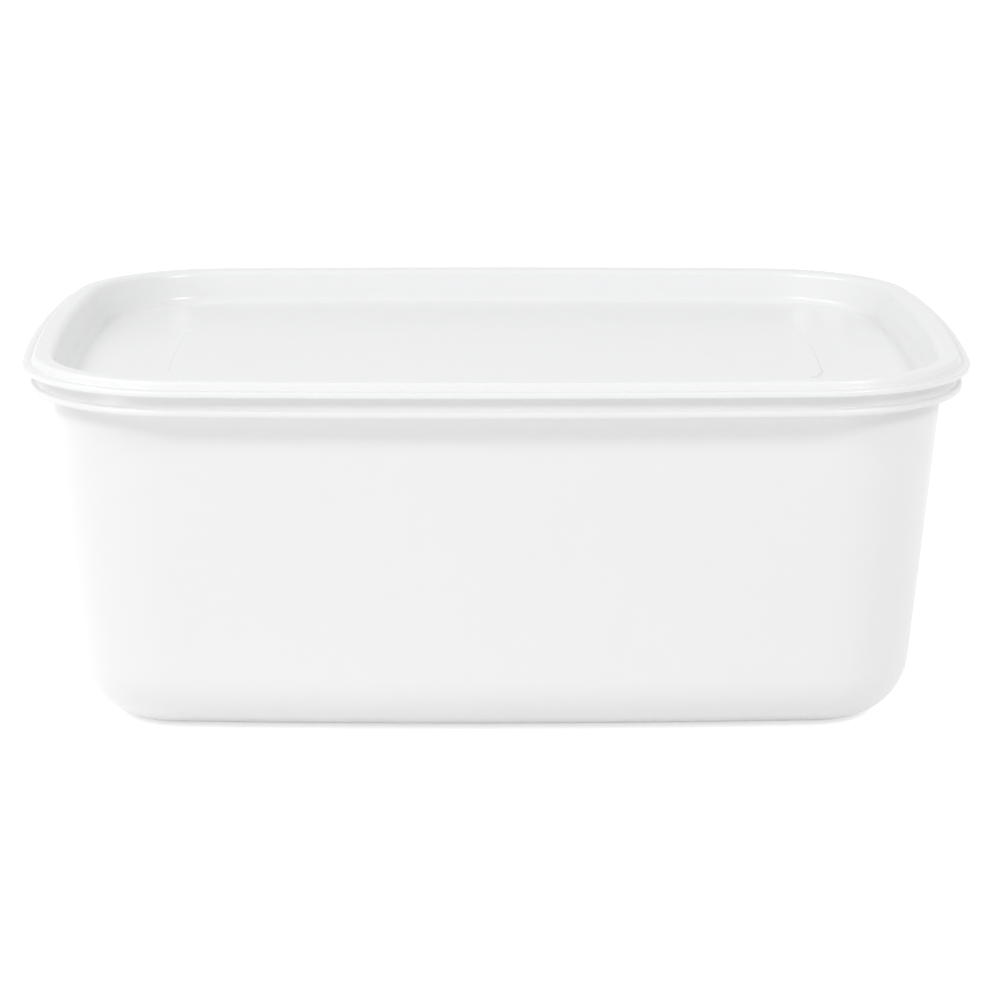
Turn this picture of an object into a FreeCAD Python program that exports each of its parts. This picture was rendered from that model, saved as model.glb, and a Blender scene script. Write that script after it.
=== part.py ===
"""Freezer container with its lid on: a tapered, round-cornered plastic tub and a plug lid.

Millimetres, +Z up, +X along the long side, origin at the centre of the base on the table.
The shut container is solid inside; the lid is its own solid, seated on the tub's rim.
"""
import FreeCAD, Part
import math
import os

import Sketcher
from FreeCAD import Vector

# ---------------------------------------------------------------- driving dimensions
# name, value (mm or degrees), what it measures
DIMENSIONS = [
    ("LidLength", 220.0, "lid, outer length at the lip"),
    ("LidDepth", 158.0, "lid, outer depth at the lip"),
    ("LidCorner", 38.5, "lid, corner radius in plan"),
    ("LidLongRadius", 1540.0, "lid, plan radius of its slightly bowed long sides"),
    ("LidShortRadius", 480.0, "lid, plan radius of its slightly bowed short sides"),
    ("SeatHeight", 81.0, "table to the plane in which the lid lies on the tub's rim"),
    ("LipThickness", 1.4, "lid, thickness of the thin outer lip"),
    ("LipWidth", 2.1, "lid, how far the lip stands out from the foot of the rim"),
    ("RimHeight", 3.2, "lid, seat plane to the top of the rim"),
    ("RimSlopeRun", 0.7, "lid, horizontal run of the rim's steep outer face"),
    ("RecessDraft", 16.0, "lid, slope of the plug and of the wall round the panel, degrees"),
    ("PanelDrop", 4.8, "lid, seat plane down to the sunk panel"),
    ("LidWall", 1.2, "lid, wall thickness of panel and plug"),
    ("PlateauLength", 154.5, "lid, length of the oval raised field on the panel"),
    ("PlateauDepth", 88.0, "lid, depth of the oval raised field"),
    ("PlateauCorner", 18.0, "lid, corner radius of the oval raised field"),
    ("PlateauLongRadius", 700.0, "lid, plan radius of the oval field's long sides"),
    ("PlateauShortRadius", 420.0, "lid, plan radius of the oval field's short sides"),
    ("PlateauRise", 0.5, "lid, height of the raised field"),
    ("PlugClearance", 0.25, "gap between the lid's plug and the tub all round and below"),
    ("TubWall", 1.2, "tub, wall thickness beside the lid's plug"),
    ("LipOverhang", 0.6, "how far the lid's lip stands out over the tub's rim"),
    ("RimCorner", 37.5, "tub, corner radius of the rim in plan"),
    ("TubLongRadius", 1340.0, "tub, plan radius of the bowed long sides of rim and wall"),
    ("TubShortRadius", 306.0, "tub, plan radius of the bowed short sides of rim and wall"),
    ("LedgeDrop", 2.9, "tub, seat plane down to the ledge on the rim"),
    ("NeckInset", 1.2, "tub, how far the neck above that ledge stands back from the rim's edge"),
    ("SkirtDrop", 4.6, "tub, seat plane to the underside of the rim"),
    ("WallInset", 4.8, "tub, rim edge to the wall under it"),
    ("WallCorner", 28.0, "tub, corner radius at the top of the wall"),
    ("WallDraft", 5.0, "tub, how much the walls lean in towards the base, degrees"),
    ("BaseRadius", 15.0, "tub, radius between wall and base"),
    ("FootRing", 6.0, "tub, width of the flat ring that it stands on"),
    ("BaseRise", 0.8, "tub, how far the middle of the base is raised"),
    ("BaseCorner", 16.0, "tub, corner radius of the raised middle of the base"),
    ("GateDiameter", 4.0, "tub, moulding mark in the middle of the base"),
    ("GateHeight", 0.4, "tub, height of that mark"),
    ("LipRound", 0.5, "rounding of the lip's thin edges"),
    ("CreaseRound", 0.5, "rounding of the crease between lip and rim"),
    ("ShoulderRound", 0.9, "rounding of the lid rim's outer shoulder"),
    ("CrestRound", 1.9, "rounding of the lid rim's inner edge"),
    ("FootRound", 2.4, "rounding between the recess wall and the panel"),
    ("PlugRound", 0.8, "rounding of the plug's lower edge"),
    ("PlateauRound", 0.2, "rounding of the raised field's edge"),
    ("SkirtRound", 0.7, "rounding of the upper and lower edge of the rim's skirt"),
    ("NeckRound", 0.3, "rounding of the crease between ledge and neck"),
    ("RootRound", 1.0, "rounding between the wall and the rim's underside"),
]

# An outline in plan: length, depth and three radii, each an expression on the sheet. The wall
# leans in by BASE_INSET down to the base, whose middle is raised inside the flat foot ring.
LID_PLAN = ("Sizes.LidLength", "Sizes.LidDepth", "Sizes.LidCorner",
            "Sizes.LidLongRadius", "Sizes.LidShortRadius")
RIM_PLAN = ("(Sizes.LidLength - 2 * Sizes.LipOverhang)", "(Sizes.LidDepth - 2 * Sizes.LipOverhang)",
            "Sizes.RimCorner", "Sizes.TubLongRadius", "Sizes.TubShortRadius")
BASE_INSET = "(Sizes.SeatHeight - Sizes.SkirtDrop) * tan(Sizes.WallDraft)"
RAISED_INSET = f"({BASE_INSET} + Sizes.BaseRadius + Sizes.FootRing)"
WALL_PLAN = (f"({RIM_PLAN[0]} - 2 * Sizes.WallInset)", f"({RIM_PLAN[1]} - 2 * Sizes.WallInset)",
             "Sizes.WallCorner", "Sizes.TubLongRadius", "Sizes.TubShortRadius")
RAISED_PLAN = (f"({WALL_PLAN[0]} - 2 * {RAISED_INSET})", f"({WALL_PLAN[1]} - 2 * {RAISED_INSET})",
               "Sizes.BaseCorner", "Sizes.TubLongRadius", "Sizes.TubShortRadius")
PLATEAU_PLAN = ("Sizes.PlateauLength", "Sizes.PlateauDepth", "Sizes.PlateauCorner",
                "Sizes.PlateauLongRadius", "Sizes.PlateauShortRadius")

# Levels above the table and insets from an outline, again as expressions on the sheet.
SEAT = "Sizes.SeatHeight"
RIM_TOP = "(Sizes.SeatHeight + Sizes.RimHeight)"
LIP_TOP = "(Sizes.SeatHeight + Sizes.LipThickness)"
PANEL = "(Sizes.SeatHeight - Sizes.PanelDrop)"
SKIRT_BOTTOM = "(Sizes.SeatHeight - Sizes.SkirtDrop)"
LEDGE = "(Sizes.SeatHeight - Sizes.LedgeDrop)"
SOCKET_INSET = "(Sizes.LipOverhang + Sizes.WallInset + Sizes.TubWall)"
PLUG_INSET = "(Sizes.LipOverhang + Sizes.WallInset + Sizes.TubWall + Sizes.PlugClearance)"
RIM_INNER = f"({PLUG_INSET} + Sizes.LidWall - Sizes.RimHeight * tan(Sizes.RecessDraft))"
PLUG_DEPTH = "(Sizes.PanelDrop + Sizes.LidWall)"

ON_CURVE = 1e-4   # an edge belongs to an outline when it lies this close to it


def make_sheet(doc):
    """The spreadsheet of driving dimensions: name, value and meaning in each row."""
    sheet = doc.addObject("Spreadsheet::Sheet", "Sizes")
    for row, (name, value, meaning) in enumerate(DIMENSIONS, start=1):
        sheet.set(f"A{row}", name)
        sheet.set(f"B{row}", str(value))
        sheet.set(f"C{row}", meaning)
        sheet.setAlias(f"B{row}", name)
    doc.recompute()
    return sheet


def number(body, expression):
    """What an expression on the sheet comes to, as a plain number."""
    value = body.evalExpression(expression)
    return float(getattr(value, "Value", value))


def plan_arcs(body, plan, inset):
    """The eight tangent arcs of an outline, moved inwards by inset, from +X anticlockwise."""
    length, depth, corner, long_radius, short_radius = (number(body, size) for size in plan)
    offset = number(body, inset)
    long_centre = depth / 2 - long_radius       # centre of the +Y side, on the Y axis
    short_centre = length / 2 - short_radius    # centre of the +X side, on the X axis
    # The corner's centre lies where it is tangent inside both side circles.
    reach_long = long_radius - corner
    reach_short = short_radius - corner
    span = math.hypot(short_centre, long_centre)
    along = (reach_long ** 2 - reach_short ** 2 + span ** 2) / (2 * span)
    aside = math.sqrt(reach_long ** 2 - along ** 2)
    ux, uy = short_centre / span, -long_centre / span
    corner_x = along * ux - aside * uy
    corner_y = long_centre + along * uy + aside * ux
    if corner_y < 0:
        corner_x = along * ux + aside * uy
        corner_y = long_centre + along * uy - aside * ux
    end = math.atan2(corner_y, corner_x - short_centre)               # half turn of a short side
    side = math.pi / 2 - math.atan2(corner_x, corner_y - long_centre)  # where a long side starts
    full = 2 * math.pi
    pieces = [
        (short_centre, 0, short_radius, -end, end),
        (corner_x, corner_y, corner, end, side),
        (0, long_centre, long_radius, side, math.pi - side),
        (-corner_x, corner_y, corner, math.pi - side, math.pi - end),
        (-short_centre, 0, short_radius, math.pi - end, math.pi + end),
        (-corner_x, -corner_y, corner, math.pi + end, math.pi + side),
        (0, -long_centre, long_radius, math.pi + side, full - side),
        (corner_x, -corner_y, corner, full - side, full - end),
    ]
    up = Vector(0, 0, 1)
    return [Part.ArcOfCircle(Part.Circle(Vector(x, y, 0), up, radius - offset), start, stop)
            for x, y, radius, start, stop in pieces]


def plan_sketch(body, name, level, plan, inset="0"):
    """A fully constrained outline sketch at a level above the table."""
    sketch = body.newObject("Sketcher::SketchObject", name)
    plane = next(f for f in body.Origin.OriginFeatures if f.Role == "XY_Plane")
    sketch.AttachmentSupport = [(plane, "")]
    sketch.MapMode = "FlatFace"
    sketch.setExpression("AttachmentOffset.Base.z", level)
    arcs = plan_arcs(body, plan, inset)
    sketch.addGeometry(arcs, False)
    constraint = Sketcher.Constraint
    start, end, centre, x_axis, y_axis = 1, 2, 3, -1, -2
    for index in range(8):
        sketch.addConstraint(constraint("Tangent", index, end, (index + 1) % 8, start))
    sketch.addConstraint([
        constraint("PointOnObject", 0, centre, x_axis),
        constraint("PointOnObject", 2, centre, y_axis),
        constraint("Symmetric", 0, centre, 4, centre, -1, 1),
        constraint("Symmetric", 2, centre, 6, centre, -1, 1),
        constraint("Equal", 0, 4),
        constraint("Equal", 2, 6),
        constraint("Equal", 1, 3),
        constraint("Equal", 1, 5),
        constraint("Equal", 1, 7),
    ])
    length, depth, corner, long_radius, short_radius = plan
    named = [
        ("ShortRadius", constraint("Radius", 0, arcs[0].Radius), f"{short_radius} - {inset}"),
        ("LongRadius", constraint("Radius", 2, arcs[2].Radius), f"{long_radius} - {inset}"),
        ("Corner", constraint("Radius", 1, arcs[1].Radius), f"{corner} - {inset}"),
        ("EndCentre", constraint("DistanceX", 0, centre, -1, 1, -arcs[0].Center.x),
         f"{short_radius} - {length} / 2"),
        ("SideCentre", constraint("DistanceY", 2, centre, -1, 1, -arcs[2].Center.y),
         f"{long_radius} - {depth} / 2"),
    ]
    for label, rule, expression in named:
        sketch.renameConstraint(sketch.addConstraint(rule), label)
        sketch.setExpression(f"Constraints.{label}", expression)
    return sketch


def extrude(body, kind, name, sketch, length, taper="0", downwards=False):
    """A Pad or Pocket of a sketch that narrows away from it by the taper angle."""
    feature = body.newObject(f"PartDesign::{kind}", name)
    feature.Profile = sketch
    feature.setExpression("Length", length)
    feature.setExpression("TaperAngle", f"-({taper})")
    # A pad goes up and a pocket goes down unless it is reversed.
    feature.Reversed = downwards if kind == "Pad" else not downwards
    body.Document.recompute()
    return feature


def edges_on(body, level, plan, inset="0"):
    """Names of the tip's edges that lie on an outline at a level."""
    height = number(body, level)
    loop = Part.Wire([arc.toShape() for arc in plan_arcs(body, plan, inset)])
    loop.translate(Vector(0, 0, height))
    names = []
    for index, edge in enumerate(body.Tip.Shape.Edges, start=1):
        middle = edge.valueAt((edge.FirstParameter + edge.LastParameter) / 2)
        points = [edge.Vertexes[0].Point, middle, edge.Vertexes[-1].Point]
        if max(loop.distToShape(Part.Vertex(point))[0] for point in points) < ON_CURVE:
            names.append(f"Edge{index}")
    if len(names) < 8:
        raise RuntimeError(f"{body.Label}: {len(names)} edges at {level}, inset {inset}")
    return names


def fillet(body, name, radius, level, plan, inset="0"):
    """Round all edges of one outline loop."""
    names = edges_on(body, level, plan, inset)
    feature = body.newObject("PartDesign::Fillet", name)
    feature.Base = (feature.BaseFeature, names)
    feature.setExpression("Radius", radius)
    body.Document.recompute()
    return feature


def make_tub(doc):
    """The tub: leaning walls, a large base radius and an outward rim, filled up to the lid."""
    body = doc.addObject("PartDesign::Body", "Tub")
    body.Label = "tub"
    wall = plan_sketch(body, "WallPlan", SKIRT_BOTTOM, WALL_PLAN)
    extrude(body, "Pad", "Wall", wall, SKIRT_BOTTOM, "Sizes.WallDraft", downwards=True)
    fillet(body, "BaseRounding", "Sizes.BaseRadius", "0", WALL_PLAN, BASE_INSET)

    skirt = plan_sketch(body, "SkirtPlan", SKIRT_BOTTOM, RIM_PLAN)
    extrude(body, "Pad", "Skirt", skirt, "Sizes.SkirtDrop - Sizes.LedgeDrop")
    neck = plan_sketch(body, "NeckPlan", LEDGE, RIM_PLAN, "Sizes.NeckInset")
    extrude(body, "Pad", "Neck", neck, "Sizes.LedgeDrop", "Sizes.WallDraft")

    socket = plan_sketch(body, "SocketPlan", SEAT, LID_PLAN, SOCKET_INSET)
    extrude(body, "Pocket", "Socket", socket, f"{PLUG_DEPTH} + Sizes.PlugClearance",
            "Sizes.RecessDraft", downwards=True)

    raised = plan_sketch(body, "BasePlan", "0", RAISED_PLAN)
    extrude(body, "Pocket", "RaisedBase", raised, "Sizes.BaseRise", "45")
    add_gate_mark(body)

    fillet(body, "NeckFoot", "Sizes.NeckRound", LEDGE, RIM_PLAN, "Sizes.NeckInset")
    fillet(body, "LedgeEdge", "Sizes.SkirtRound", LEDGE, RIM_PLAN)
    fillet(body, "SkirtEdge", "Sizes.SkirtRound", SKIRT_BOTTOM, RIM_PLAN)
    fillet(body, "RimRoot", "Sizes.RootRound", SKIRT_BOTTOM, WALL_PLAN)
    return body


def add_gate_mark(body):
    """The small round mark that moulding leaves in the middle of the raised base."""
    sketch = body.newObject("Sketcher::SketchObject", "GatePlan")
    plane = next(f for f in body.Origin.OriginFeatures if f.Role == "XY_Plane")
    sketch.AttachmentSupport = [(plane, "")]
    sketch.MapMode = "FlatFace"
    sketch.setExpression("AttachmentOffset.Base.z", "Sizes.BaseRise - Sizes.GateHeight")
    radius = number(body, "Sizes.GateDiameter") / 2
    sketch.addGeometry(Part.Circle(Vector(0, 0, 0), Vector(0, 0, 1), radius), False)
    sketch.addConstraint(Sketcher.Constraint("Coincident", 0, 3, -1, 1))
    rule = sketch.addConstraint(Sketcher.Constraint("Diameter", 0, 2 * radius))
    sketch.renameConstraint(rule, "Diameter")
    sketch.setExpression("Constraints.Diameter", "Sizes.GateDiameter")
    extrude(body, "Pad", "GateMark", sketch, "Sizes.GateHeight")


def make_lid(doc):
    """The lid: thin lip, sloping rim with a flat top, and a sunk panel with an oval field."""
    body = doc.addObject("PartDesign::Body", "Lid")
    body.Label = "lid"
    slope_inset = "(Sizes.LipWidth + Sizes.RimSlopeRun)"
    recess_depth = "(Sizes.RimHeight + Sizes.PanelDrop)"

    lip = plan_sketch(body, "LipPlan", SEAT, LID_PLAN)
    extrude(body, "Pad", "Lip", lip, "Sizes.LipThickness")
    rim = plan_sketch(body, "RimPlan", LIP_TOP, LID_PLAN, "Sizes.LipWidth")
    extrude(body, "Pad", "Rim", rim, "Sizes.RimHeight - Sizes.LipThickness",
            "atan(Sizes.RimSlopeRun / (Sizes.RimHeight - Sizes.LipThickness))")
    plug = plan_sketch(body, "PlugPlan", SEAT, LID_PLAN, PLUG_INSET)
    extrude(body, "Pad", "Plug", plug, PLUG_DEPTH, "Sizes.RecessDraft", downwards=True)
    recess = plan_sketch(body, "RecessPlan", RIM_TOP, LID_PLAN, RIM_INNER)
    extrude(body, "Pocket", "Recess", recess, recess_depth, "Sizes.RecessDraft", downwards=True)
    plateau = plan_sketch(body, "PlateauPlan", PANEL, PLATEAU_PLAN)
    extrude(body, "Pad", "Plateau", plateau, "Sizes.PlateauRise", "45")

    fillet(body, "PanelFoot", "Sizes.FootRound", PANEL, LID_PLAN,
           f"({RIM_INNER} + {recess_depth} * tan(Sizes.RecessDraft))")
    fillet(body, "Crest", "Sizes.CrestRound", RIM_TOP, LID_PLAN, RIM_INNER)
    fillet(body, "OuterShoulder", "Sizes.ShoulderRound", RIM_TOP, LID_PLAN, slope_inset)
    fillet(body, "Crease", "Sizes.CreaseRound", LIP_TOP, LID_PLAN, "Sizes.LipWidth")
    fillet(body, "LipTopEdge", "Sizes.LipRound", LIP_TOP, LID_PLAN)
    fillet(body, "LipBottomEdge", "Sizes.LipRound", SEAT, LID_PLAN)
    fillet(body, "PlugEdge", "Sizes.PlugRound", f"({SEAT} - {PLUG_DEPTH})", LID_PLAN,
           f"({PLUG_INSET} + {PLUG_DEPTH} * tan(Sizes.RecessDraft))")
    fillet(body, "PlateauEdge", "Sizes.PlateauRound", f"({PANEL} + Sizes.PlateauRise)",
           PLATEAU_PLAN, "Sizes.PlateauRise")
    return body


def check(doc, parts):
    """Stop unless every object was rebuilt and every sub-part is one valid solid."""
    for item in doc.Objects:
        if {"Invalid", "Error"} & set(item.State):
            raise RuntimeError(f"{item.Name} failed: {item.getStatusString()}")
    for part in parts:
        shape = part.Shape
        if shape.isNull() or not shape.isValid() or len(shape.Solids) != 1:
            raise RuntimeError(f"{part.Label} isn't one valid solid")
        print(part.Label, "volume", round(shape.Volume), "mm3, faces", len(shape.Faces), shape.BoundBox)


def main():
    doc = FreeCAD.newDocument("FreezerContainer")
    make_sheet(doc)
    parts = [make_tub(doc), make_lid(doc)]
    doc.recompute()
    check(doc, parts)
    os.makedirs("parts", exist_ok=True)
    for part in parts:
        part.Shape.exportStep(os.path.join("parts", f"{part.Label}.step"))


main()
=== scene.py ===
"""Looks of a shut freezer container: a moulded plastic tub and its plug lid, on a pale floor.

Metres, +Z up, +X along the long side, origin at the centre of the base. Both pieces are swept
rings: a rounded section carried round an outline of eight tangent arcs.
"""
import math

import bpy
from bpy.props import FloatProperty, FloatVectorProperty, PointerProperty
from bpy.types import Operator, Panel, PropertyGroup
from mathutils import Euler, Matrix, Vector


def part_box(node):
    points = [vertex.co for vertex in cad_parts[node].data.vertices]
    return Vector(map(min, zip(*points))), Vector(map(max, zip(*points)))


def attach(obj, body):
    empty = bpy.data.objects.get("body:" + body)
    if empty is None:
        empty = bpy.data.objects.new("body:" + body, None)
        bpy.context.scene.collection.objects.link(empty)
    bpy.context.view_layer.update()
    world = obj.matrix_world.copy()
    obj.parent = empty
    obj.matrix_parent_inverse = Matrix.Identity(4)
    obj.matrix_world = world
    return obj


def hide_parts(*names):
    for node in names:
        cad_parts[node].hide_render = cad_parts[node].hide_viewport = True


bl_info = {
    "name": "Freezer Container",
    "version": (1, 0, 0),
    "blender": (4, 5, 0),
    "location": "View3D > Sidebar > Container",
    "description": "Builds a moulded freezer container with its lid, and a stage to show it on",
    "category": "Add Mesh",
}

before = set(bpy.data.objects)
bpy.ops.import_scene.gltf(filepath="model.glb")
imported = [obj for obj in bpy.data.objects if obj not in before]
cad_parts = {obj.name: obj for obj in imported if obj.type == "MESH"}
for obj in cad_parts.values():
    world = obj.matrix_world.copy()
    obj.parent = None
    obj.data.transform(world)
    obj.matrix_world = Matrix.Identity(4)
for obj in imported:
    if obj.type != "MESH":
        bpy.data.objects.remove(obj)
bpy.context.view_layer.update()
LID_LOW, LID_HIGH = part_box("lid")
TUB_LOW, TUB_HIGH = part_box("tub")

# Fineness of the meshes.
LONG_STEPS, SHORT_STEPS, CORNER_STEPS = 28, 18, 26   # mesh steps along each kind of arc
ARC_STEP = math.radians(9)                           # turn between two points of a rounding
LEAST_ARC_STEPS = 3
FLAT_FACE_WEIGHT = 100                               # how far large faces decide the shading

# How far the flat parts of a section run on past their last corner, in metres.
SEAT_LAND = 0.0005
PLUG_LAND = 0.004
PANEL_LAND = 0.006
FIELD_LAND = 0.004
FIELD_BORDER = 0.002
WALL_TOP_LAND, RIM_FOOT_LAND = 0.6, 0.3              # these two are shares of the wall inset

# Roundings that are too small or too hidden to be settings, in metres.
STEP_CREASE_ROUND, STEP_EDGE_ROUND = 0.0006, 0.0004   # raised middle of the base
GATE_EDGE_ROUND, GATE_CREASE_ROUND = 0.00015, 0.0002  # moulding mark
PLUG_CREASE_ROUND = 0.0004                            # under the lip, beside the plug

# Sizes of the rings that fill a flat middle, as shares of the ring round it.
BASE_SHARES = (0.25, 0.5, 0.75)
FILLING_SHARES = (0.7, 0.4, 0.1)
FIELD_SHARES = (0.8, 0.6, 0.4, 0.2)

# Finishes: the cloudy parts' share of the colour, and the range of the roughness.
TUB_FINISH = {"cloud_share": 0.985, "roughness": (0.29, 0.33)}
LID_FINISH = {"cloud_share": 0.990, "roughness": (0.21, 0.24)}
PLASTIC_IOR = 1.49
PEEL_STRENGTH = 0.02
PEEL_DEPTH = 0.0002
MIX_FIRST, MIX_SECOND, MIX_RESULT = 6, 7, 2          # colour sockets of a Mix node

# Stage. Each lamp has a place, the length of its sides and the setting with its power.
FLOOR_HALF = 3.0
FLOOR_GLOW = 0.55
SENSOR_WIDTH = 36
LAMPS = {
    "Key": ((-0.74, -0.80, 1.05), 0.3, "key_power"),
    "Fill": ((0.78, -0.80, 1.02), 0.35, "fill_power"),
    "Side": ((-1.00, -0.15, 1.00), 0.5, "side_power"),
    "LowLeft": ((-1.10, -0.75, 0.12), 0.4, "low_left_power"),
    "LowRight": ((1.10, -0.75, 0.12), 0.4, "low_right_power"),
}


def length_property(name, description, default):
    """A size in metres that a user can change."""
    return FloatProperty(name=name, description=description, default=default, min=0.0,
                         precision=5, subtype="DISTANCE", unit="LENGTH")


def angle_property(name, description, default):
    """An angle, given here in degrees."""
    return FloatProperty(name=name, description=description, default=math.radians(default),
                         subtype="ANGLE", unit="ROTATION")


def colour_property(name, description, default):
    """A linear RGB colour."""
    return FloatVectorProperty(name=name, description=description, default=default, size=3,
                               min=0.0, max=1.0, subtype="COLOR")


def power_property(name, description, default):
    """A lamp's power in watts."""
    return FloatProperty(name=name, description=description, default=default, min=0.0,
                         subtype="POWER", unit="POWER")


# ---------------------------------------------------------------- settings

class ContainerRimSettings(PropertyGroup):
    """Where the lid and the tub's rim meet."""
    overhang: length_property("Lip Overhang", "Lip beyond the tub's rim", 0.0006)
    wall_inset: length_property("Wall Inset", "Rim edge to the wall under it", 0.0048)
    tub_wall: length_property("Tub Wall", "Wall thickness beside the plug", 0.0012)
    plug_gap: length_property("Plug Gap", "Clearance round the lid's plug", 0.00025)
    plug_slope: angle_property("Plug Slope", "Slope of the plug and the recess", 16.0)


class ContainerTubSettings(PropertyGroup):
    """Sizes and colour of the tub."""
    ledge_drop: length_property("Ledge Drop", "Seat plane to the ledge on the rim", 0.0029)
    neck_inset: length_property("Neck Inset", "Rim edge to the neck above the ledge", 0.0012)
    skirt_drop: length_property("Skirt Drop", "Seat plane to the rim's underside", 0.0046)
    rim_corner: length_property("Rim Corner", "Corner radius of the rim in plan", 0.0375)
    corner: length_property("Wall Corner", "Corner radius at the top of the wall", 0.028)
    long_radius: length_property("Long Side Radius", "Bow of the long sides", 1.340)
    short_radius: length_property("Short Side Radius", "Bow of the short sides", 0.306)
    draft: angle_property("Draft", "Lean of the walls towards the base", 5.0)
    base_radius: length_property("Base Radius", "Rounding between wall and base", 0.015)
    foot_ring: length_property("Foot Ring", "Width of the flat ring it stands on", 0.006)
    base_rise: length_property("Base Rise", "How far the base's middle is raised", 0.0008)
    base_corner: length_property("Base Corner", "Corner radius of the raised middle", 0.016)
    gate_radius: length_property("Gate Radius", "Radius of the moulding mark", 0.002)
    gate_height: length_property("Gate Height", "Height of the moulding mark", 0.0004)
    skirt_round: length_property("Skirt Round", "Rounding of the rim skirt's edges", 0.0007)
    neck_round: length_property("Neck Round", "Rounding between ledge and neck", 0.0003)
    root_round: length_property("Root Round", "Rounding between wall and rim", 0.001)
    colour: colour_property("Colour", "Tub plastic", (0.878, 0.878, 0.878))


class ContainerLidSettings(PropertyGroup):
    """Sizes and colour of the lid."""
    corner: length_property("Corner", "Corner radius of the lid in plan", 0.0385)
    long_radius: length_property("Long Side Radius", "Bow of the long sides", 1.540)
    short_radius: length_property("Short Side Radius", "Bow of the short sides", 0.480)
    lip_thickness: length_property("Lip Thickness", "Thickness of the outer lip", 0.0014)
    lip_width: length_property("Lip Width", "Lip beyond the foot of the rim", 0.0021)
    slope_run: length_property("Slope Run", "Width of the rim's steep face", 0.0007)
    panel_drop: length_property("Panel Drop", "Seat plane down to the sunk panel", 0.0048)
    wall: length_property("Wall", "Thickness of panel and plug", 0.0012)
    field_length: length_property("Field Length", "Length of the raised oval field", 0.1545)
    field_depth: length_property("Field Depth", "Depth of the raised oval field", 0.088)
    field_corner: length_property("Field Corner", "Corner radius of the oval field", 0.018)
    field_long_radius: length_property("Field Long Radius", "Bow of its long sides", 0.700)
    field_short_radius: length_property("Field Short Radius", "Bow of its short sides", 0.420)
    field_rise: length_property("Field Rise", "Height of the oval field", 0.0005)
    lip_round: length_property("Lip Round", "Rounding of the lip's thin edges", 0.0005)
    crease_round: length_property("Crease Round", "Rounding between lip and rim", 0.0005)
    shoulder_round: length_property("Shoulder Round", "Rounding of the rim's outside", 0.0009)
    crest_round: length_property("Crest Round", "Rounding of the rim's inner edge", 0.0019)
    foot_round: length_property("Foot Round", "Rounding round the sunk panel", 0.0024)
    plug_round: length_property("Plug Round", "Rounding of the plug's lower edge", 0.0008)
    field_round: length_property("Field Round", "Rounding of the field's edge", 0.0003)
    colour: colour_property("Colour", "Lid plastic", (0.884, 0.887, 0.893))


class ContainerStageSettings(PropertyGroup):
    """Camera, lamps and floor."""
    target: FloatVectorProperty(name="Target", description="Point the camera turns about",
                                default=(0.0004, 0.0, 0.0403), size=3, subtype="TRANSLATION")
    distance: length_property("Distance", "Camera to target", 0.7613)
    turn: angle_property("Turn", "Camera round the container, from straight ahead", -0.769)
    elevation: angle_property("Elevation", "Camera above the horizon", 13.70)
    roll: angle_property("Roll", "Camera about its own axis", 0.121)
    lens: FloatProperty(name="Lens", description="Focal length", default=113.1,
                        subtype="DISTANCE_CAMERA")
    floor_colour: colour_property("Floor", "Colour of the floor", (0.92, 0.92, 0.92))
    world_level: FloatProperty(name="World Level", description="Light from all round",
                               default=0.54, min=0.0)
    key_power: power_property("Key Power", "Lamp above the front left", 3.6)
    fill_power: power_property("Fill Power", "Lamp above the front right", 4.4)
    side_power: power_property("Side Power", "Lamp above the left", 3.0)
    low_left_power: power_property("Low Left Power", "Low lamp at the front left", 2.3)
    low_right_power: power_property("Low Right Power", "Low lamp at the front right", 1.0)


# ---------------------------------------------------------------- outlines and sections

class Outline:
    """An outline in plan: eight tangent arcs, four slightly bowed sides and four corners."""

    def __init__(self, length, depth, corner, long_radius, short_radius):
        long_y = depth / 2 - long_radius       # centre of the back side
        short_x = length / 2 - short_radius    # centre of the right side
        # The corner's centre is where its circle touches both side circles from inside.
        reach_long, reach_short = long_radius - corner, short_radius - corner
        span = math.hypot(short_x, long_y)
        along = (reach_long ** 2 - reach_short ** 2 + span ** 2) / (2 * span)
        aside = math.sqrt(reach_long ** 2 - along ** 2)
        ux, uy = short_x / span, -long_y / span
        centres = [(along * ux + turn * aside * uy, long_y + along * uy - turn * aside * ux)
                   for turn in (1, -1)]
        corner_x, corner_y = max(centres, key=lambda centre: centre[1])
        end = math.atan2(corner_y, corner_x - short_x)
        side = math.pi / 2 - math.atan2(corner_x, corner_y - long_y)
        half, full = math.pi, 2 * math.pi
        self.arcs = [
            (short_x, 0, short_radius, -end, end, SHORT_STEPS),
            (corner_x, corner_y, corner, end, side, CORNER_STEPS),
            (0, long_y, long_radius, side, half - side, LONG_STEPS),
            (-corner_x, corner_y, corner, half - side, half - end, CORNER_STEPS),
            (-short_x, 0, short_radius, half - end, half + end, SHORT_STEPS),
            (-corner_x, -corner_y, corner, half + end, half + side, CORNER_STEPS),
            (0, -long_y, long_radius, half + side, full - side, LONG_STEPS),
            (corner_x, -corner_y, corner, full - side, full - end, CORNER_STEPS),
        ]

    def ring(self, inset, height):
        """Points round the outline, moved inwards by inset."""
        points = []
        for x, y, radius, start, stop, steps in self.arcs:
            reach = radius - inset
            for step in range(steps):
                angle = start + (stop - start) * step / steps
                points.append(Vector((x + reach * math.cos(angle),
                                      y + reach * math.sin(angle), height)))
        return points


def infill(ring, shares):
    """Rings drawn in from one ring towards the Z axis, level with it."""
    return [[Vector((point.x * share, point.y * share, point.z)) for point in ring]
            for share in shares]


def round_ring(like, radius, height):
    """A circle about the Z axis whose points face those of another ring."""
    return [Vector((point.x, point.y, 0)).normalized() * radius + Vector((0, 0, height))
            for point in like]


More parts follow.
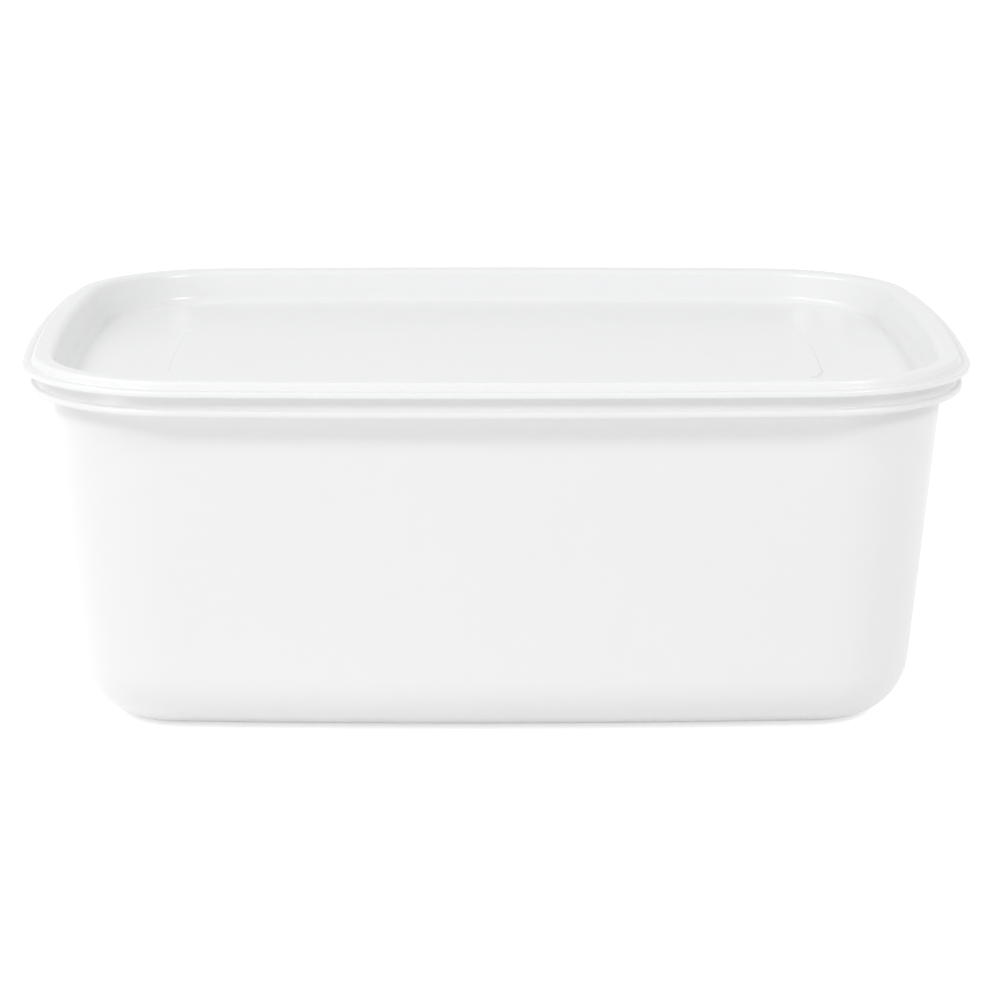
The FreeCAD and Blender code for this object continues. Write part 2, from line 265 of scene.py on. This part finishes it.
def rounded(corners):
    """A section line through (inset, height, radius) corners, each rounded by its radius."""
    points = []
    for index, (inset, height, radius) in enumerate(corners):
        here = Vector((inset, height))
        if radius == 0 or index in (0, len(corners) - 1):
            points.append(here)
            continue
        before = (Vector(corners[index - 1][:2]) - here).normalized()
        after = (Vector(corners[index + 1][:2]) - here).normalized()
        opening = before.angle(after)
        setback = radius / math.tan(opening / 2)
        centre = here + (before + after).normalized() * radius / math.sin(opening / 2)
        first, last = here + before * setback - centre, here + after * setback - centre
        turn = math.pi - opening
        steps = max(LEAST_ARC_STEPS, math.ceil(turn / ARC_STEP))
        # The spoke from the rounding's centre turns evenly from the first to the last.
        for step in range(steps + 1):
            share = step / steps
            spoke = (first * math.sin((1 - share) * turn) + last * math.sin(share * turn))
            points.append(centre + spoke / math.sin(turn))
    return points


def section(outline, corners):
    """The rings of a rounded section line carried round an outline."""
    return [outline.ring(inset, height) for inset, height in rounded(corners)]


def skin(name, rings):
    """A closed mesh through rings of equal length, with a point in the middle of each end."""
    count = len(rings[0])
    points = [point for ring in rings for point in ring]
    faces = []
    for level in range(len(rings) - 1):
        low, high = level * count, (level + 1) * count
        for here in range(count):
            there = (here + 1) % count
            faces.append((low + here, low + there, high + there, high + here))
    for start, ring, flip in ((0, rings[0], True), (len(points) - count, rings[-1], False)):
        middle = len(points)
        points.append(sum(ring, Vector()) / count)
        for here in range(count):
            edge = (start + here, start + (here + 1) % count)
            faces.append((*(edge[::-1] if flip else edge), middle))
    mesh = bpy.data.meshes.new(name)
    mesh.from_pydata(points, [], faces)
    mesh.validate()
    mesh.shade_smooth()
    piece = bpy.data.objects.new(name, mesh)
    bpy.context.collection.objects.link(piece)
    weighted = piece.modifiers.new("Flat faces stay flat", "WEIGHTED_NORMAL")
    weighted.weight = FLAT_FACE_WEIGHT
    return piece


def plug_inset(rim):
    """Lip edge to the lid's plug, at the seat plane."""
    return rim.overhang + rim.wall_inset + rim.tub_wall + rim.plug_gap


def lid_outline(lid):
    """Outline of the lid's lip, which the plug and its socket follow."""
    return Outline(LID_HIGH[0] - LID_LOW[0], LID_HIGH[1] - LID_LOW[1], lid.corner,
                   lid.long_radius, lid.short_radius)


# ---------------------------------------------------------------- the pieces' shapes

def tub_rings(rim, tub, lid):
    """The tub from the middle of its base, up the wall, over the rim and down to its filling."""
    seat = TUB_HIGH[2]
    skirt = seat - tub.skirt_drop
    lean = math.tan(tub.draft)
    foot = skirt * lean
    raised_inset = foot + tub.base_radius + tub.foot_ring

    def outline(inset, corner):
        return Outline(TUB_HIGH[0] - TUB_LOW[0] - 2 * inset,
                       TUB_HIGH[1] - TUB_LOW[1] - 2 * inset,
                       corner, tub.long_radius, tub.short_radius)

    rim_line = outline(0, tub.rim_corner)
    wall = outline(rim.wall_inset, tub.corner)
    raised = outline(rim.wall_inset + raised_inset, tub.base_corner)

    raised_rings = section(raised, [
        (4 * tub.base_rise, tub.base_rise, 0),
        (tub.base_rise, tub.base_rise, STEP_CREASE_ROUND),
        (0, 0, STEP_EDGE_ROUND),
        (-tub.base_rise, 0, 0),
    ])
    inner = raised_rings[0]
    gate_foot = tub.base_rise
    gate_face = gate_foot - tub.gate_height
    gate_rings = [round_ring(inner, radius, height) for radius, height in rounded([
        (0, gate_face, 0),
        (tub.gate_radius, gate_face, GATE_EDGE_ROUND),
        (tub.gate_radius, gate_foot, GATE_CREASE_ROUND),
        (2 * tub.gate_radius, gate_foot, 0),
    ])[1:]]
    wall_rings = section(wall, [
        (raised_inset - 2 * tub.base_rise, 0, 0),
        (foot, 0, tub.base_radius),
        (0, skirt, tub.root_round),
        (-WALL_TOP_LAND * rim.wall_inset, skirt, 0),
    ])
    below = lid.panel_drop + lid.wall + rim.plug_gap
    socket = plug_inset(rim) - rim.plug_gap
    ledge = seat - tub.ledge_drop
    neck_top = tub.neck_inset + tub.ledge_drop * lean
    rim_rings = section(rim_line, [
        (RIM_FOOT_LAND * rim.wall_inset, skirt, 0),
        (0, skirt, tub.skirt_round),
        (0, ledge, tub.skirt_round),
        (tub.neck_inset, ledge, tub.neck_round),
        (neck_top, seat, 0),
        (neck_top + SEAT_LAND, seat, 0),
    ])
    socket_rings = section(lid_outline(lid), [
        (socket, seat, 0),
        (socket + below * math.tan(rim.plug_slope), seat - below, 0),
    ])
    return [*gate_rings, *infill(inner, BASE_SHARES), *raised_rings, *wall_rings, *rim_rings,
            *socket_rings, *infill(socket_rings[-1], FILLING_SHARES)]


def lid_rings(rim, lid):
    """The lid from the middle of its underside, round the plug, lip, rim and sunk panel."""
    seat, top = LID_LOW[2] + lid.panel_drop + lid.wall, LID_HIGH[2]
    panel = seat - lid.panel_drop
    slope = math.tan(rim.plug_slope)
    plug = plug_inset(rim)
    crest = plug + lid.wall - (top - seat) * slope
    foot = crest + (top - panel) * slope
    plug_foot = plug + (seat - LID_LOW[2]) * slope
    lip_top = seat + lid.lip_thickness
    field = Outline(lid.field_length, lid.field_depth, lid.field_corner,
                    lid.field_long_radius, lid.field_short_radius)

    rim_rings = section(lid_outline(lid), [
        (plug_foot + PLUG_LAND, LID_LOW[2], 0),
        (plug_foot, LID_LOW[2], lid.plug_round),
        (plug, seat, PLUG_CREASE_ROUND),
        (0, seat, lid.lip_round),
        (0, lip_top, lid.lip_round),
        (lid.lip_width, lip_top, lid.crease_round),
        (lid.lip_width + lid.slope_run, top, lid.shoulder_round),
        (crest, top, lid.crest_round),
        (foot, panel, lid.foot_round),
        (foot + PANEL_LAND, panel, 0),
    ])
    field_rings = section(field, [
        (-FIELD_BORDER, panel, 0),
        (0, panel, lid.field_round),
        (lid.field_rise, panel + lid.field_rise, lid.field_round),
        (FIELD_LAND, panel + lid.field_rise, 0),
    ])
    return [*infill(rim_rings[0], reversed(FILLING_SHARES)), *rim_rings, *field_rings,
            *infill(field_rings[-1], FIELD_SHARES)]


# ---------------------------------------------------------------- finishes

def add_node(tree, kind, place, **settings):
    """A node of one kind at a place, with its settings."""
    node = tree.nodes.new(kind)
    node.location = place
    for name, value in settings.items():
        setattr(node, name, value)
    return node


def moulded_finish_group():
    """Node group: faint clouding, uneven gloss and fine orange peel of moulded polypropylene."""
    group = bpy.data.node_groups.get("Moulded finish")
    if group:
        return group
    group = bpy.data.node_groups.new("Moulded finish", "ShaderNodeTree")
    for name, kind, default in (
            ("Colour", "NodeSocketColor", (0.8, 0.8, 0.8, 1)),
            ("Cloud Colour", "NodeSocketColor", (0.75, 0.75, 0.77, 1)),
            ("Cloud Scale", "NodeSocketFloat", 14.0),
            ("Gloss Scale", "NodeSocketFloat", 35.0),
            ("Peel Scale", "NodeSocketFloat", 240.0),
            ("Roughness Low", "NodeSocketFloat", 0.3),
            ("Roughness High", "NodeSocketFloat", 0.4)):
        socket = group.interface.new_socket(name=name, in_out="INPUT", socket_type=kind)
        socket.default_value = default
    for name, kind in (("Colour", "NodeSocketColor"), ("Roughness", "NodeSocketFloat"),
                       ("Height", "NodeSocketFloat")):
        group.interface.new_socket(name=name, in_out="OUTPUT", socket_type=kind)
    nodes, links = group.nodes, group.links
    inputs = add_node(group, "NodeGroupInput", (-900, 0))
    outputs = add_node(group, "NodeGroupOutput", (600, 0))
    place = add_node(group, "ShaderNodeTexCoord", (-900, -300))

    clouds = add_node(group, "ShaderNodeTexNoise", (-600, 300))
    clouds.inputs["Detail"].default_value = 3
    clouds.inputs["Roughness"].default_value = 0.45
    clouds.inputs["Distortion"].default_value = 0.6
    links.new(place.outputs["Object"], clouds.inputs["Vector"])
    links.new(inputs.outputs["Cloud Scale"], clouds.inputs["Scale"])
    tint = add_node(group, "ShaderNodeMix", (100, 300), data_type="RGBA")
    links.new(clouds.outputs["Fac"], tint.inputs["Factor"])
    links.new(inputs.outputs["Colour"], tint.inputs[MIX_FIRST])
    links.new(inputs.outputs["Cloud Colour"], tint.inputs[MIX_SECOND])
    links.new(tint.outputs[MIX_RESULT], outputs.inputs["Colour"])

    gloss = add_node(group, "ShaderNodeTexNoise", (-600, 0))
    gloss.inputs["Detail"].default_value = 5
    links.new(place.outputs["Object"], gloss.inputs["Vector"])
    links.new(inputs.outputs["Gloss Scale"], gloss.inputs["Scale"])
    spread = add_node(group, "ShaderNodeMapRange", (100, 0))
    spread.inputs["From Min"].default_value = 0.35
    spread.inputs["From Max"].default_value = 0.65
    links.new(gloss.outputs["Fac"], spread.inputs["Value"])
    links.new(inputs.outputs["Roughness Low"], spread.inputs["To Min"])
    links.new(inputs.outputs["Roughness High"], spread.inputs["To Max"])
    links.new(spread.outputs["Result"], outputs.inputs["Roughness"])

    peel = add_node(group, "ShaderNodeTexNoise", (-600, -300))
    peel.inputs["Detail"].default_value = 2
    links.new(place.outputs["Object"], peel.inputs["Vector"])
    links.new(inputs.outputs["Peel Scale"], peel.inputs["Scale"])
    links.new(peel.outputs["Fac"], outputs.inputs["Height"])
    return group


def moulded_plastic(name, colour, cloud_share, roughness):
    """White moulded plastic: satin gloss, faintly cloudy, with a fine orange peel."""
    material = bpy.data.materials.new(name)
    material.use_nodes = True
    tree = material.node_tree
    shader = tree.nodes["Principled BSDF"]
    finish = add_node(tree, "ShaderNodeGroup", (-600, 0), node_tree=moulded_finish_group())
    finish.inputs["Colour"].default_value = (*colour, 1)
    finish.inputs["Cloud Colour"].default_value = (*(part * cloud_share for part in colour), 1)
    (finish.inputs["Roughness Low"].default_value,
     finish.inputs["Roughness High"].default_value) = roughness
    bump = add_node(tree, "ShaderNodeBump", (-250, -250))
    bump.inputs["Strength"].default_value = PEEL_STRENGTH
    bump.inputs["Distance"].default_value = PEEL_DEPTH
    tree.links.new(finish.outputs["Colour"], shader.inputs["Base Color"])
    tree.links.new(finish.outputs["Roughness"], shader.inputs["Roughness"])
    tree.links.new(finish.outputs["Height"], bump.inputs["Height"])
    tree.links.new(bump.outputs["Normal"], shader.inputs["Normal"])
    shader.inputs["IOR"].default_value = PLASTIC_IOR
    return material


def floor_material(colour):
    """Pale floor that keeps the container's shadow and runs out to white in view."""
    material = bpy.data.materials.new("Pale floor")
    material.use_nodes = True
    tree = material.node_tree
    tree.nodes.clear()
    output = add_node(tree, "ShaderNodeOutputMaterial", (600, 0))
    diffuse = add_node(tree, "ShaderNodeBsdfDiffuse", (0, 100))
    diffuse.inputs["Color"].default_value = (*colour, 1)
    glow = add_node(tree, "ShaderNodeEmission", (0, -100))
    both = add_node(tree, "ShaderNodeAddShader", (350, 0))
    seen = seen_rays(tree)
    lift = add_node(tree, "ShaderNodeMath", (-200, -100), operation="MULTIPLY")
    lift.inputs[1].default_value = FLOOR_GLOW
    tree.links.new(seen, lift.inputs[0])
    tree.links.new(lift.outputs[0], glow.inputs["Strength"])
    tree.links.new(diffuse.outputs[0], both.inputs[0])
    tree.links.new(glow.outputs[0], both.inputs[1])
    tree.links.new(both.outputs[0], output.inputs["Surface"])
    return material


def seen_rays(tree):
    """1 for camera, glossy and transmission rays, else 0."""
    path = add_node(tree, "ShaderNodeLightPath", (-900, -200))
    first = add_node(tree, "ShaderNodeMath", (-650, -200), operation="MAXIMUM")
    second = add_node(tree, "ShaderNodeMath", (-450, -200), operation="MAXIMUM")
    tree.links.new(path.outputs["Is Camera Ray"], first.inputs[0])
    tree.links.new(path.outputs["Is Glossy Ray"], first.inputs[1])
    tree.links.new(first.outputs[0], second.inputs[0])
    tree.links.new(path.outputs["Is Transmission Ray"], second.inputs[1])
    return second.outputs[0]


# ---------------------------------------------------------------- operators

class MESH_OT_container_tub(Operator):
    """Build the tub with its rim, rounded base and raised base middle"""
    bl_idname = "mesh.container_tub"
    bl_label = "Container Tub"

    def execute(self, context):
        rim, tub, lid = (context.scene.container_rim, context.scene.container_tub,
                         context.scene.container_lid)
        piece = skin("tub_shell", tub_rings(rim, tub, lid))
        piece.data.materials.append(moulded_plastic("Tub plastic", tub.colour, **TUB_FINISH))
        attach(piece, "root")
        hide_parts("tub")
        return {"FINISHED"}


class MESH_OT_container_lid(Operator):
    """Build the lid with its lip, rim, sunk panel and oval field"""
    bl_idname = "mesh.container_lid"
    bl_label = "Container Lid"

    def execute(self, context):
        rim, lid = context.scene.container_rim, context.scene.container_lid
        piece = skin("lid_shell", lid_rings(rim, lid))
        piece.data.materials.append(moulded_plastic("Lid plastic", lid.colour, **LID_FINISH))
        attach(piece, "root")
        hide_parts("lid")
        return {"FINISHED"}


class SCENE_OT_container_stage(Operator):
    """Make the floor, world, lamps and camera"""
    bl_idname = "scene.container_stage"
    bl_label = "Container Stage"

    def execute(self, context):
        stage = context.scene.container_stage
        make_floor(stage)
        make_world(context.scene, stage)
        for name, (place, size, power) in LAMPS.items():
            make_lamp(name, place, size, getattr(stage, power))
        make_camera(context.scene, stage)
        context.scene.view_settings.view_transform = "Standard"
        return {"FINISHED"}


def make_floor(stage):
    """A wide flat floor under the container."""
    corners = [(x * FLOOR_HALF, y * FLOOR_HALF, 0)
               for x, y in ((-1, -1), (1, -1), (1, 1), (-1, 1))]
    mesh = bpy.data.meshes.new("floor")
    mesh.from_pydata(corners, [], [(0, 1, 2, 3)])
    mesh.materials.append(floor_material(stage.floor_colour))
    floor = bpy.data.objects.new("floor", mesh)
    bpy.context.collection.objects.link(floor)


def make_world(scene, stage):
    """Even light from all round, seen as plain white."""
    world = bpy.data.worlds.new("Studio")
    world.use_nodes = True
    tree = world.node_tree
    background = tree.nodes["Background"]
    background.inputs["Color"].default_value = (1, 1, 1, 1)
    level = add_node(tree, "ShaderNodeMapRange", (-200, -200))
    level.inputs["To Min"].default_value = stage.world_level
    level.inputs["To Max"].default_value = 1.0
    tree.links.new(seen_rays(tree), level.inputs["Value"])
    tree.links.new(level.outputs["Result"], background.inputs["Strength"])
    scene.world = world


def make_lamp(name, place, size, power):
    """A square area lamp aimed at the container's middle."""
    lamp = bpy.data.lights.new(name, "AREA")
    lamp.size = size
    lamp.energy = power
    holder = bpy.data.objects.new(name, lamp)
    holder.location = place
    aim = Vector((0, 0, LID_HIGH[2] / 2)) - Vector(place)
    holder.rotation_euler = aim.to_track_quat("-Z", "Y").to_euler()
    bpy.context.collection.objects.link(holder)


def make_camera(scene, stage):
    """The camera, turned about its target."""
    camera = bpy.data.cameras.new("Camera")
    camera.lens = stage.lens
    camera.sensor_width = SENSOR_WIDTH
    holder = bpy.data.objects.new("Camera", camera)
    across = math.cos(stage.elevation) * stage.distance
    holder.location = Vector(stage.target) + Vector((
        math.sin(stage.turn) * across, -math.cos(stage.turn) * across,
        math.sin(stage.elevation) * stage.distance))
    holder.rotation_euler = Euler((math.pi / 2 - stage.elevation, 0, stage.turn))
    holder.rotation_euler.rotate_axis("Z", stage.roll)
    bpy.context.collection.objects.link(holder)
    scene.camera = holder


class VIEW3D_PT_container(Panel):
    """Sidebar panel with the container's operators and settings"""
    bl_label = "Freezer Container"
    bl_idname = "VIEW3D_PT_container"
    bl_space_type = "VIEW_3D"
    bl_region_type = "UI"
    bl_category = "Container"

    def draw(self, context):
        layout = self.layout
        for operator in OPERATORS:
            layout.operator(operator.bl_idname)
        for name, group in SETTINGS.items():
            column = layout.column(align=True)
            column.label(text=group.__doc__.strip("."))
            settings = getattr(context.scene, name)
            for field in group.__annotations__:
                column.prop(settings, field)


SETTINGS = {
    "container_rim": ContainerRimSettings,
    "container_tub": ContainerTubSettings,
    "container_lid": ContainerLidSettings,
    "container_stage": ContainerStageSettings,
}
OPERATORS = (MESH_OT_container_tub, MESH_OT_container_lid, SCENE_OT_container_stage)


def register():
    for group in SETTINGS.values():
        bpy.utils.register_class(group)
    for name, group in SETTINGS.items():
        setattr(bpy.types.Scene, name, PointerProperty(type=group))
    for item in (*OPERATORS, VIEW3D_PT_container):
        bpy.utils.register_class(item)


def unregister():
    for item in (VIEW3D_PT_container, *reversed(OPERATORS)):
        bpy.utils.unregister_class(item)
    for name in SETTINGS:
        delattr(bpy.types.Scene, name)
    for group in SETTINGS.values():
        bpy.utils.unregister_class(group)


def main():
    register()
    bpy.ops.mesh.container_tub()
    bpy.ops.mesh.container_lid()
    bpy.ops.scene.container_stage()


if __name__ == "__main__":
    main()
